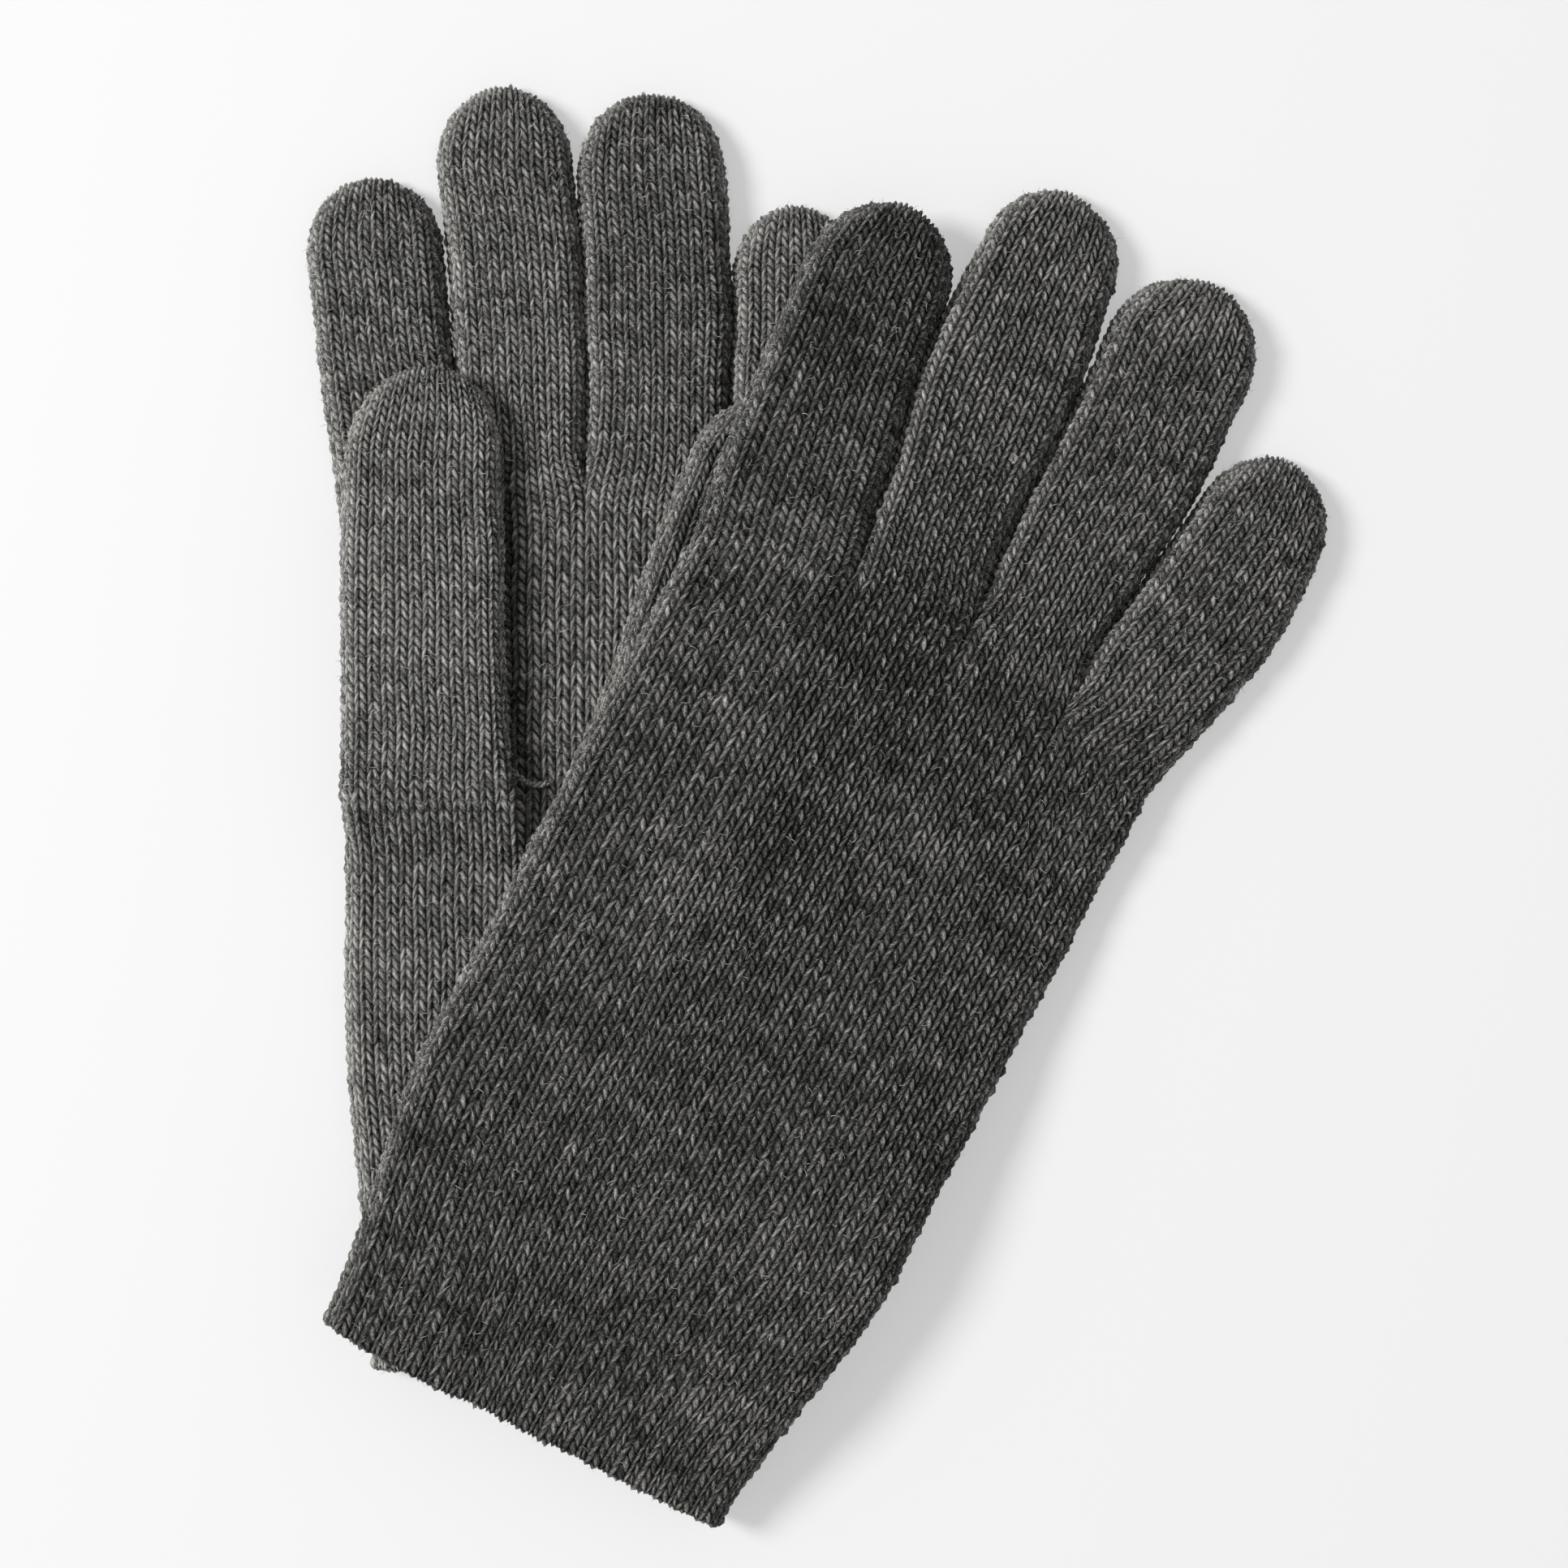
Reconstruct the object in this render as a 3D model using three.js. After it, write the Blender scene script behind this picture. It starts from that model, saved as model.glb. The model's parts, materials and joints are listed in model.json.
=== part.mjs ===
// A pair of knitted wool gloves laid one on the other, in millimetres, +Z up.
// The left glove lies palm up with its thumb folded over the palm. The right glove lies
// across it, back up, turned clockwise, with its thumb tucked under its palm.
import * as THREE from 'three';

/* ---------------------------------------------------------------- driving sizes */

const CLOTH = 1.7;        // the knitted wool cloth
const LOFT = 8.6;         // a section of glove lying flat: two layers of cloth and air
const GAP = 0.3;          // clearance between pieces that touch
const SEAM = 0.5;         // clearance where the fingers are knitted on to the palm
const FOLD = 5;           // how far a rounded side edge reaches in from the outline
const CUFF_TOP = 26;      // where the cuff ends and the palm begins, from the cuff's edge
const HEM_TOP = 6;        // height of the turned hem at the cuff's edge
const ELASTIC_AT = 15;    // height of the elastic thread in the cuff
const ELASTIC = 0.6;      // thickness of the elastic thread
const TIP = 15;           // length of the rounded end of a finger
const WIDEN = 45;         // a finger reaches its full width this far from its root

/* Plan of each glove: u runs across from the thumb side, v runs up from the cuff's edge.
   `roots` are the ends of the finger roots, from the thumb side to the little finger side;
   `knuckle` is where a finger bends, measured from its root. */

const LEFT = {
  side: 'left',
  at: [0, 0],
  turn: 0,
  middle: -0.9,
  cuffHalf: 40.4,
  palmHalf: 45,
  flare: 70,
  thumbRoot: 108.3,
  swellSide: 4,
  swellLap: 0,
  ridge: [-15.3, -11.3],
  swellBelow: 16,
  roots: [[-45.9, 150], [-23.5, 154.5], [-1.9, 160.5], [24.6, 156.5], [44.1, 150]],
  fingers: [
    { name: 'index', tip: [-43, 221.7], width: 24, knuckle: 36 },
    { name: 'middle', tip: [-18.1, 238.6], width: 24, knuckle: 31 },
    { name: 'ring', tip: [10.8, 237.4], width: 26, knuckle: 29 },
    { name: 'little', tip: [37.2, 216.6], width: 22 },
  ],
  thumb: { roots: [-46.1, -15.3], tip: [-30.4, 185.2], width: 29 },
};

const RIGHT = {
  side: 'right',
  at: [-12.15, -9.75],
  turn: THREE.MathUtils.degToRad(28),
  middle: -1.2,
  cuffHalf: 41.1,
  palmHalf: 48.1,
  flare: 55,
  thumbRoot: 114,
  swellSide: 21,
  swellLap: 1,
  ridge: [-28, -12],
  swellBelow: 32,
  roots: [[-49.3, 160.3], [-20.6, 168.2], [2.9, 167.2], [25.9, 160], [46.9, 156.5]],
  fingers: [
    { name: 'index', tip: [-44, 231.3], width: 26.8, knuckle: 33 },
    { name: 'middle', tip: [-17.6, 249], width: 25.6, knuckle: 29 },
    { name: 'ring', tip: [13.9, 247], width: 25.2, knuckle: 31 },
    { name: 'little', tip: [43.6, 224.1], width: 24.2, knuckle: 28 },
  ],
  thumb: { roots: [-49.3, -19.8], tip: [-45, 189.5], width: 28.8 },
};

/* The right glove rests on the left one and falls to the table beyond it. */
const LEFT_EDGE = 49;      // reach of the left glove toward its little finger side
const FALL = 44;           // distance over which the upper glove comes down to the table

/* ---------------------------------------------------------------- materials */

function wool(colour) {
  return new THREE.MeshStandardMaterial({ color: colour, roughness: 0.95, metalness: 0 });
}

const WOOL = wool(0x6f6d69);
const CUFF_WOOL = wool(0x66645f);
const HEM_WOOL = wool(0x7a7873);
const YARN = wool(0x8d8a85);
const RUBBER = new THREE.MeshStandardMaterial({ color: 0xd9d5cb, roughness: 0.7, metalness: 0 });

/* ---------------------------------------------------------------- heights */

const { smoothstep, lerp } = THREE.MathUtils;

// Plan position of a point of a glove on the table.
function plan(glove, u, v) {
  const c = Math.cos(glove.turn);
  const s = Math.sin(glove.turn);
  return [glove.at[0] + u * c + v * s, glove.at[1] - u * s + v * c];
}

// Height of whatever a glove lies on.
function ground(glove, u, v) {
  if (glove === LEFT) return 0;
  const [x, y] = plan(glove, u, v);
  const beyondSide = smoothstep(x, LEFT_EDGE, LEFT_EDGE + FALL);
  const beyondCuff = smoothstep(-y, 2, 2 + FALL);
  return (LOFT + GAP) * (1 - beyondSide) * (1 - beyondCuff);
}

// Inner side of the folded thumb at height v.
function thumbEdge(glove, v) {
  const { roots, tip, width } = glove.thumb;
  const part = (v - glove.thumbRoot) / (tip[1] - glove.thumbRoot);
  return lerp(roots[1], tip[0] + width / 2, Math.min(Math.max(part, 0), 1));
}

// Room taken by the folded thumb, as extra height: full over the thumb, fading around it.
function swell(glove, u, v) {
  const inner = thumbEdge(glove, v) - glove.swellLap;
  const across = 1 - smoothstep(u, inner, inner + glove.swellSide);
  const below = smoothstep(v, glove.thumbRoot - glove.swellBelow, glove.thumbRoot);
  const above = 1 - smoothstep(v, glove.thumb.tip[1] - 3, glove.thumb.tip[1] + 24);
  return (LOFT + GAP) * across * below * above;
}

/* Each height rule returns [underside, top] at a point of the glove. */

const flat = (glove) => (u, v) => {
  const under = ground(glove, u, v);
  return [under, under + LOFT];
};

const aroundThumb = (glove) => (u, v) => {
  const under = ground(glove, u, v);
  return [under, under + LOFT + swell(glove, u, v)];
};

const overThumb = (glove) => (u, v) => {
  const under = ground(glove, u, v) + swell(glove, u, v);
  return [under, under + LOFT];
};

const thumbHeights = (glove) => (u, v) => {
  const under = ground(glove, u, v) + (glove === LEFT ? LOFT + GAP : 0);
  return [under, under + LOFT - GAP];
};

/* ---------------------------------------------------------------- knitted tubes */

// Rounding of a flattened tube near its side edges: 0 on the edge, 1 where it is flat.
function edgeRound(fromEdge) {
  const t = Math.min(fromEdge / FOLD, 1);
  return Math.sqrt(1 - (1 - t) ** 2);
}

// Stations across a tube, from -1 to 1, closer together where the side edges are round.
function stations(half, inner) {
  const edge = [0, 0.2, 0.55, 1].map((k) => 1 - (k * FOLD) / half);
  return [...edge.map((f) => -f), ...inner, ...edge.reverse()];
}

/* One flattened tube. `rows` run along the cloth's section: each has a depth below the outer
   face and a `place(f)` giving the plan point at station f. The lathe gives the closed
   surface; every point is then set on the flattened, draped shape. */
function knitTube(name, rows, across, heights, glove, material) {
  const loop = [];
  across.forEach((f) => loop.push([f, 1]));
  across.slice(1, -1).reverse().forEach((f) => loop.push([f, -1]));
  const profile = rows.map((row, i) => new THREE.Vector2(1, i));
  const geometry = new THREE.LatheGeometry(profile, loop.length);
  const position = geometry.attributes.position;
  for (let i = 0; i < position.count; i += 1) {
    const row = rows[i % rows.length];
    const [f, face] = loop[Math.floor(i / rows.length) % loop.length];
    const [u, v] = row.place(f);
    const [under, top] = heights(u, v);
    const half = (top - under) / 2 - row.depth;
    const round = edgeRound((1 - Math.abs(f)) * row.half) * row.thin;
    const [x, y] = plan(glove, u, v);
    position.setXYZ(i, x, y, (under + top) / 2 + face * half * round);
  }
  geometry.computeVertexNormals();
  const mesh = new THREE.Mesh(geometry, material);
  mesh.name = name;
  return mesh;
}

// The same stations on the outer face going up and on the inner face coming down.
function hollow(ups, rowAt) {
  const outer = ups.map((t) => rowAt(t, 0));
  const inner = [...ups].reverse().map((t) => rowAt(t, CLOTH));
  return [...outer, ...inner, outer[0]];
}

/* ---------------------------------------------------------------- cuff and palm */

function halfWidth(glove, v) {
  return lerp(glove.cuffHalf, glove.palmHalf, smoothstep(v, 0, glove.flare));
}

// Height of the finger roots along the top of the palm.
function rootLine(glove, u) {
  const passed = glove.roots.slice(1, -1).filter((r) => r[0] < u).length;
  const [a, b] = glove.roots.slice(passed, passed + 2);
  return lerp(a[1], b[1], (u - a[0]) / (b[0] - a[0]));
}

// A row straight across the hand at height v.
function handRow(glove, v, depth) {
  const half = halfWidth(glove, v);
  const place = (f) => [glove.middle + f * (half - depth), v];
  return { depth, half, thin: 1, place };
}

// A row that follows the finger roots at part t of the way up from the thumb's root.
function upperRow(glove, t, depth) {
  const half = glove.palmHalf;
  const start = glove.thumbRoot + GAP;
  const place = (f) => {
    const u = glove.middle + f * (half - depth);
    return [u, lerp(start, rootLine(glove, u) - SEAM, t)];
  };
  return { depth, half, thin: 1, place };
}

function handStations(glove) {
  const corners = glove.roots.slice(1, -1).map((r) => (r[0] - glove.middle) / glove.palmHalf);
  const [a, b, c] = corners;
  const ridge = glove.ridge.map((u) => (u - glove.middle) / glove.palmHalf);
  const more = [-0.7, a, ...ridge, b, c, 0.72].sort((p, q) => p - q);
  return stations(glove.palmHalf, more);
}

function hem(glove) {
  const rows = hollow([0, HEM_TOP - GAP], (v, depth) => handRow(glove, v, depth));
  return knitTube(`${glove.side}_cuff_hem`, rows, handStations(glove), flat(glove), glove, HEM_WOOL);
}

// The cuff has a groove on its inside for the elastic thread.
function cuff(glove) {
  const low = ELASTIC_AT - 1;
  const high = ELASTIC_AT + 1;
  const groove = CLOTH - ELASTIC - 0.4;
  const outer = [HEM_TOP, ELASTIC_AT, CUFF_TOP - GAP].map((v) => handRow(glove, v, 0));
  const inner = [
    [CUFF_TOP - GAP, CLOTH], [high, CLOTH], [high, groove],
    [low, groove], [low, CLOTH], [HEM_TOP, CLOTH],
  ].map(([v, depth]) => handRow(glove, v, depth));
  const rows = [...outer, ...inner, outer[0]];
  return knitTube(`${glove.side}_cuff`, rows, handStations(glove), flat(glove), glove, CUFF_WOOL);
}

function elastic(glove) {
  const near = CLOTH - ELASTIC - 0.2;
  const far = near + ELASTIC;
  const rows = [
    [ELASTIC_AT - 0.6, near], [ELASTIC_AT + 0.6, near],
    [ELASTIC_AT + 0.6, far], [ELASTIC_AT - 0.6, far],
    [ELASTIC_AT - 0.6, near],
  ].map(([v, depth]) => handRow(glove, v, depth));
  return knitTube(`${glove.side}_cuff_elastic`, rows, handStations(glove), flat(glove), glove, RUBBER);
}

function lowerPalm(glove) {
  const swellFrom = glove.thumbRoot - glove.swellBelow;
  const ups = [CUFF_TOP, 55, swellFrom, glove.thumbRoot - glove.swellBelow / 2, glove.thumbRoot];
  const rows = hollow(ups, (v, depth) => handRow(glove, v, depth));
  return knitTube(`${glove.side}_palm`, rows, handStations(glove), aroundThumb(glove), glove, WOOL);
}

function upperPalm(glove) {
  const heights = glove === LEFT ? flat(glove) : overThumb(glove);
  const rows = hollow([0, 0.5, 1], (t, depth) => upperRow(glove, t, depth));
  const name = `${glove.side}_palm_below_fingers`;
  return knitTube(name, rows, handStations(glove), heights, glove, WOOL);
}

/* ---------------------------------------------------------------- fingers and thumb */

// A finger's centre line, its direction and the half-line along its root.
function fingerAxis(rootA, rootB, tip) {
  const a = new THREE.Vector2(...rootA);
  const b = new THREE.Vector2(...rootB);
  const root = a.clone().add(b).multiplyScalar(0.5);
  const along = new THREE.Vector2(...tip).sub(root);
  const length = along.length();
  along.normalize();
  const rootHalf = b.clone().sub(a).multiplyScalar(0.5);
  return { root, along, length, rootHalf };
}

// A row across a finger at distance t from its root; near the tip the finger rounds off.
function fingerRow(axis, width, t, depth) {
  const end = axis.length - depth;
  const rise = Math.max(0, (t - (end - TIP)) / TIP);
  const close = Math.sqrt(Math.max(0, 1 - rise * rise));
  const side = new THREE.Vector2(axis.along.y, -axis.along.x).multiplyScalar(width / 2);
  const half = axis.rootHalf.clone().multiplyScalar(1 - GAP / axis.rootHalf.length());
  half.lerp(side, smoothstep(t, 0, WIDEN));
  const reach = ((half.length() - depth) / half.length()) * close;
  const place = (f) => {
    const p = axis.root.clone().addScaledVector(axis.along, t).addScaledVector(half, f * reach);
    return [p.x, p.y];
  };
  return { depth, half: width / 2, thin: Math.sqrt(close), place };
}

const ROUNDING = [0, 0.5, 0.8, 0.95, 1];      // how far into the rounded end each row is

// Rows of a closed finger end, from the inside of its tip, round its open end, to the tip.
function endRows(axis, width, from) {
  const ups = (end) => {
    const tipFrom = end - TIP;
    const straight = tipFrom - from > 14 ? [from, (from + tipFrom) / 2] : [from];
    return [...straight, ...ROUNDING.map((k) => tipFrom + k * TIP)];
  };
  const inner = ups(axis.length - CLOTH).reverse().map((t) => fingerRow(axis, width, t, CLOTH));
  const outer = ups(axis.length).map((t) => fingerRow(axis, width, t, 0));
  return [...inner, ...outer];
}

function fingerStations(width) {
  return stations(width / 2, [0]);
}

// A finger that stays still is one tube; one that bends has a lower tube and a fingertip.
function finger(glove, i) {
  const { name, tip, width, knuckle } = glove.fingers[i];
  const axis = fingerAxis(glove.roots[i], glove.roots[i + 1], tip);
  const heights = glove === LEFT ? flat(glove) : overThumb(glove);
  const across = fingerStations(width);
  const label = `${glove.side}_${name}_finger`;
  if (!knuckle) return [knitTube(label, endRows(axis, width, 0), across, heights, glove, WOOL)];
  const ups = [0, 0.4, 0.7, 1].map((k) => k * (knuckle - GAP / 2));
  const lower = hollow(ups, (t, depth) => fingerRow(axis, width, t, depth));
  const upper = endRows(axis, width, knuckle + GAP / 2);
  return [
    knitTube(label, lower, across, heights, glove, WOOL),
    knitTube(`${label}tip`, upper, across, heights, glove, WOOL),
  ];
}

function thumb(glove) {
  const { roots, tip, width } = glove.thumb;
  const v = glove.thumbRoot + GAP;
  const axis = fingerAxis([roots[0], v], [roots[1], v], tip);
  const rows = endRows(axis, width, 0);
  const across = fingerStations(width);
  return knitTube(`${glove.side}_thumb`, rows, across, thumbHeights(glove), glove, WOOL);
}

/* ---------------------------------------------------------------- yarn ends */

// Loose end of yarn left at the fork of the left glove's thumb.
function yarnTail() {
  const z = LOFT + GAP + 0.6;
  const path = new THREE.QuadraticBezierCurve3(
    new THREE.Vector3(-14.5, 113, z),
    new THREE.Vector3(-11.5, 108.5, z + 0.8),
    new THREE.Vector3(-7.5, 110.5, z),
  );
  const section = new THREE.Shape().absarc(0, 0, 0.45, 0, 2 * Math.PI);
  const options = { steps: 6, curveSegments: 3, extrudePath: path, bevelEnabled: false };
  const mesh = new THREE.Mesh(new THREE.ExtrudeGeometry(section, options), YARN);
  mesh.name = 'left_thumb_yarn_tail';
  return mesh;
}

// Small knot where two yarns are joined, on the back of the right middle finger.
function yarnKnot() {
  const [u, v] = [-4.5, 199.8];
  const [x, y] = plan(RIGHT, u, v);
  const top = overThumb(RIGHT)(u, v)[1];
  const geometry = new THREE.SphereGeometry(0.9, 8, 6);
  geometry.translate(x, y, top + 0.9 + GAP);
  const mesh = new THREE.Mesh(geometry, YARN);
  mesh.name = 'right_middle_finger_knot';
  return mesh;
}

/* ---------------------------------------------------------------- the pair */

function glovePieces(glove) {
  return [
    hem(glove), cuff(glove), elastic(glove), lowerPalm(glove), upperPalm(glove), thumb(glove),
    ...[0, 1, 2, 3].flatMap((i) => finger(glove, i)),
  ];
}

const group = new THREE.Group();
group.name = 'knitted_gloves_pair';
group.add(...glovePieces(LEFT), yarnTail(), ...glovePieces(RIGHT), yarnKnot());

// The origin is the middle of the pair's underside.
const box = new THREE.Box3().setFromObject(group);
const centre = box.getCenter(new THREE.Vector3());
group.children.forEach((mesh) => mesh.geometry.translate(-centre.x, -centre.y, -box.min.z));

export default group;
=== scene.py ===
import json
import math

import bpy
import numpy as np
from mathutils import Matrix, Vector

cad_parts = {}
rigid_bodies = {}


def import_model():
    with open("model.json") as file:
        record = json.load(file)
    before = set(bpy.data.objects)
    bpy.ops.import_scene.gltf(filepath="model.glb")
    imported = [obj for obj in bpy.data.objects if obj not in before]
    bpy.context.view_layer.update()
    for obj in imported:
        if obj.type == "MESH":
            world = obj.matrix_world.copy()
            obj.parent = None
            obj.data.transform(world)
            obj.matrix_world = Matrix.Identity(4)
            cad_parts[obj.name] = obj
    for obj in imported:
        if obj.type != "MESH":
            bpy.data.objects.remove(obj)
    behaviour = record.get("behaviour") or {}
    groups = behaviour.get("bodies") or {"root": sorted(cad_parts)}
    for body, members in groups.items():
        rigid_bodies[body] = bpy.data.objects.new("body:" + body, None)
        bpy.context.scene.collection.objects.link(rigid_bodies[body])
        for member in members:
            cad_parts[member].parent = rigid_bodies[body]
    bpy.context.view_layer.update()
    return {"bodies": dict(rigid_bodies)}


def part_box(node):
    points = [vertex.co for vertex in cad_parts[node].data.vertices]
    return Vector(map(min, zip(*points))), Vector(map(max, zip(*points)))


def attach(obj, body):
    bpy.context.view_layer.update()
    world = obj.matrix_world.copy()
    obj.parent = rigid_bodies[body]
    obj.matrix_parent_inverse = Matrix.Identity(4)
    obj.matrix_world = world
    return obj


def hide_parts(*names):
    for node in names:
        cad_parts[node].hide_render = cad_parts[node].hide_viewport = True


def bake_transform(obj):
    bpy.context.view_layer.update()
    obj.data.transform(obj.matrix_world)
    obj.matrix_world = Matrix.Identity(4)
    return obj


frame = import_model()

# ---------------------------------------------------------------- driving sizes, in mm

MM = 0.001            # metres in a millimetre

# how the gloves lie
LOFT = 8.6            # a section of glove lying flat
GAP = 0.3             # clearance between layers that touch
LEFT_EDGE = 49.0      # reach of the left glove toward its little finger side
LEFT_CUFF_EDGE = -2.0  # where the upper glove starts to come down past the lower one's cuff
FALL = 44.0           # distance over which the upper glove comes down to the table

# the tubes
CLOTH = 1.7           # thickness of the knitted cloth
FOLD = 3.2            # how far a rounded side edge reaches in from the outline
CUFF_TOP = 26.0       # where the cuff ends and the palm begins
CUFF_DROP = 0.9       # how far past the part's own edge the cuff reaches
HEM_IN = 24.0         # how far the hem is turned up inside the cuff
THUMB_PART = 14.0     # the palm's edge parts in two over this length below the thumb's root
FORM = 13.0           # a finger takes its own width over this length from its root
ROUND_OFF = 6.0       # and its sides round off over this length
SAG = 2.6             # how far below mid height a finger's sides are folded

# the knit
CUFF_COURSE = 2.1     # height of one row of stitches in the cuff,
PALM_COURSE = 1.95    # in the palm
FINGER_COURSE = 1.75  # and in the fingers
SLANT = 0.85          # how many rows a stitch's legs run down from its middle to its sides
PILE = 0.85           # how far the yarn stands up from the valleys of the knit
INSET = 0.3           # the valleys lie this far inside the cloth's outer face
SUNK = 0.2            # and the whole knit is drawn in this much more
TUCK = 0.6            # how far a tube is tucked in where it passes under its neighbour
RIB = 0.2             # how much wider than the next one every second wale of the cuff is
RIB_SUNK = 0.18       # how far the narrow wales of the cuff lie back
YARN_IN_WALE = 5.2    # length of yarn in one wale of one row

# dents and waves in the cloth
DENT = 0.2            # depth of the soft waves all over the palm and fingers
WANDER = (0.22, 0.30)  # how far the wales and the rows stray from straight lines
RIM = 0.35            # depth of the groove pressed in behind the fold on the thumb's side
PINCH = 3.4           # depth of the dimple below each gap between fingers
CREASE = 3.2          # depth of the crease the folded left thumb presses into the palm

# The gloves are knitted from the fingertips down, so each stitch is an upturned V with a
# narrow, steep left leg and a broad right one. Across one wale: where the mesh's columns
# stand, how far down the V they are, how high the yarn is there and how far along the yarn
# they are. Up one row of stitches, a course: how high the yarn of each leg is on each of
# the mesh's rows.
COLUMNS = np.array([0.0, 0.11, 0.22, 0.33, 0.43, 0.57, 0.72, 0.87])
DOWN = np.array([1.0, 0.88, 0.55, 0.2, 0.0, 0.15, 0.45, 0.8])
ACROSS = np.array([0.0, 0.7, 0.95, 0.75, 0.15, 0.8, 1.0, 0.75])
ALONG_YARN = np.array([0, 0.4, 1.1, 1.9, 2.4, 2.9, 3.7, 4.5])
UP_LEFT = np.array([0.45, 0.9, 1.0, 0.8])
UP_RIGHT = np.array([0.1, 0.8, 1.0, 0.8])
PER_WALE = len(COLUMNS)
LEFT_LEG = 4          # columns of a wale in its left leg
PER_COURSE = len(UP_LEFT)

# ---------------------------------------------------------------- the two gloves

# Plan of each glove in its own frame: u runs across from the thumb side, v up from the
# cuff's edge. The frame's origin lies `at` a place on the table, and is turned clockwise.
# `middle` is the hand's centre line, and the cuff's half width grows to the palm's over
# `flare`. The cloth lies over or under the folded thumb in a slope: `swell_side` is its
# width beyond the thumb, `swell_lap` how far in over the thumb it starts and
# `swell_below` its length below the thumb's root. `wales` are the columns of stitches
# across the upper side, `joins` those where the fingers part and `forks` their places.
# A finger's `left` and `right` are its sides from root to the start of its round tip,
# and `extra` the wales that grow out of the forks beside it. A thumb takes the palm's
# first wales, up to `join`. `tone_and_painted_light` is how much lighter than grey the
# wool is, a finger's added to its glove's; it is partly the yarn's own tone and partly
# painted light and shading, for how the light falls on each glove and finger. `apart` is
# how much of their height the fingers' sides lose to the creases between them, and
# `seed` starts the glove's random numbers.

LEFT = {
    "side": "left", "seed": 100, "at": (0.0, 0.0), "turn": 0.0, "middle": -0.9,
    "cuff_half": 40.4, "palm_half": 45.4, "flare": 70.0, "wales": 37,
    "thumb_root": 108.3, "swell_side": 4.0, "swell_lap": 0.0, "swell_below": 16.0,
    "joins": [0, 10, 18, 28, 37],
    "tone_and_painted_light": 0.11, "apart": 0.3,
    "forks": [(-46.1, 150.0), (-23.5, 154.5), (-1.9, 160.5), (24.6, 156.5), (44.3, 150.0)],
    "fingers": {
        "index": {
            "left": [(-46.1, 150.0), (-49.2, 170.0), (-51.6, 189.0), (-53.9, 207.0)],
            "right": [(-23.5, 154.5), (-24.7, 171.0), (-27.0, 189.0), (-29.1, 207.0)],
            "tip": (-41.5, 221.7), "extra": (0, 2), "tone_and_painted_light": -0.06,
        },
        "middle": {
            "left": [(-23.5, 154.5), (-25.4, 179.0), (-27.1, 202.0), (-29.3, 224.0)],
            "right": [(-1.9, 160.5), (-2.1, 180.0), (-2.5, 202.0), (-4.9, 224.0)],
            "tip": (-17.4, 238.6), "extra": (2, 2), "tone_and_painted_light": -0.02,
        },
        "ring": {
            "left": [(-1.9, 160.5), (-1.6, 180.0), (-2.0, 201.0), (-3.2, 221.5)],
            "right": [(24.6, 156.5), (24.9, 180.0), (25.2, 201.0), (23.8, 222.0)],
            "tip": (10.4, 237.5), "extra": (2, 1), "tone_and_painted_light": -0.07,
        },
        "little": {
            "left": [(24.6, 156.5), (25.2, 171.0), (25.6, 187.0), (26.1, 202.0)],
            "right": [(44.3, 150.0), (46.6, 168.0), (48.2, 185.0), (48.8, 202.0)],
            "tip": (37.2, 216.6), "extra": (2, 0), "tone_and_painted_light": -0.05,
        },
    },
    "thumb": {
        "left": [(-46.1, 108.3), (-46.0, 129.0), (-46.1, 149.0), (-45.4, 169.5)],
        "right": [(-15.0, 108.3), (-16.6, 129.0), (-16.9, 149.0), (-17.8, 169.5)],
        "tip": (-30.6, 185.2), "extra": (0, 1), "join": 13, "tone_and_painted_light": 0.0,
    },
}

RIGHT = {
    "side": "right", "seed": 500, "at": (-12.15, -9.75), "turn": math.radians(28), "middle": -1.2,
    "cuff_half": 41.1, "palm_half": 48.1, "flare": 55.0, "wales": 37,
    "thumb_root": 114.0, "swell_side": 32.0, "swell_lap": 1.0, "swell_below": 46.0,
    "joins": [0, 11, 20, 28, 37],
    "tone_and_painted_light": -0.085, "apart": 0.55,
    "forks": [(-49.3, 160.3), (-20.6, 168.2), (2.9, 167.2), (25.9, 160.0), (46.9, 156.5)],
    "fingers": {
        "index": {
            "left": [(-49.3, 160.3), (-52.2, 179.0), (-54.0, 198.0), (-55.6, 216.0)],
            "right": [(-20.6, 168.2), (-23.2, 182.5), (-26.2, 199.5), (-28.9, 216.5)],
            "tip": (-42.3, 231.7), "extra": (0, 1), "tone_and_painted_light": -0.05,
        },
        "middle": {
            "left": [(-20.6, 168.2), (-24.0, 190.0), (-28.0, 212.0), (-28.4, 234.0)],
            "right": [(2.9, 167.2), (1.4, 190.0), (0.8, 212.0), (-2.5, 234.0)],
            "tip": (-16.5, 249.3), "extra": (1, 2), "tone_and_painted_light": 0.12,
        },
        "ring": {
            "left": [(2.9, 167.2), (1.8, 188.0), (1.2, 210.0), (0.3, 231.0)],
            "right": [(25.9, 160.0), (26.8, 187.0), (28.9, 209.0), (28.1, 231.0)],
            "tip": (13.9, 246.8), "extra": (2, 2), "tone_and_painted_light": 0.07,
        },
        "little": {
            "left": [(25.9, 160.0), (25.7, 176.0), (28.0, 192.0), (30.3, 208.5)],
            "right": [(46.9, 156.5), (51.3, 175.0), (54.9, 192.3), (55.2, 208.0)],
            "tip": (42.6, 224.1), "extra": (3, 0), "tone_and_painted_light": 0.07,
        },
    },
    "thumb": {
        "left": [(-49.6, 114.0), (-51.9, 134.0), (-55.4, 154.0), (-57.5, 173.5)],
        "right": [(-19.8, 114.0), (-22.0, 134.0), (-25.6, 154.0), (-28.9, 173.5)],
        "tip": (-43.5, 189.5), "extra": (0, 2), "join": 12, "tone_and_painted_light": 0.05,
    },
}

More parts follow.
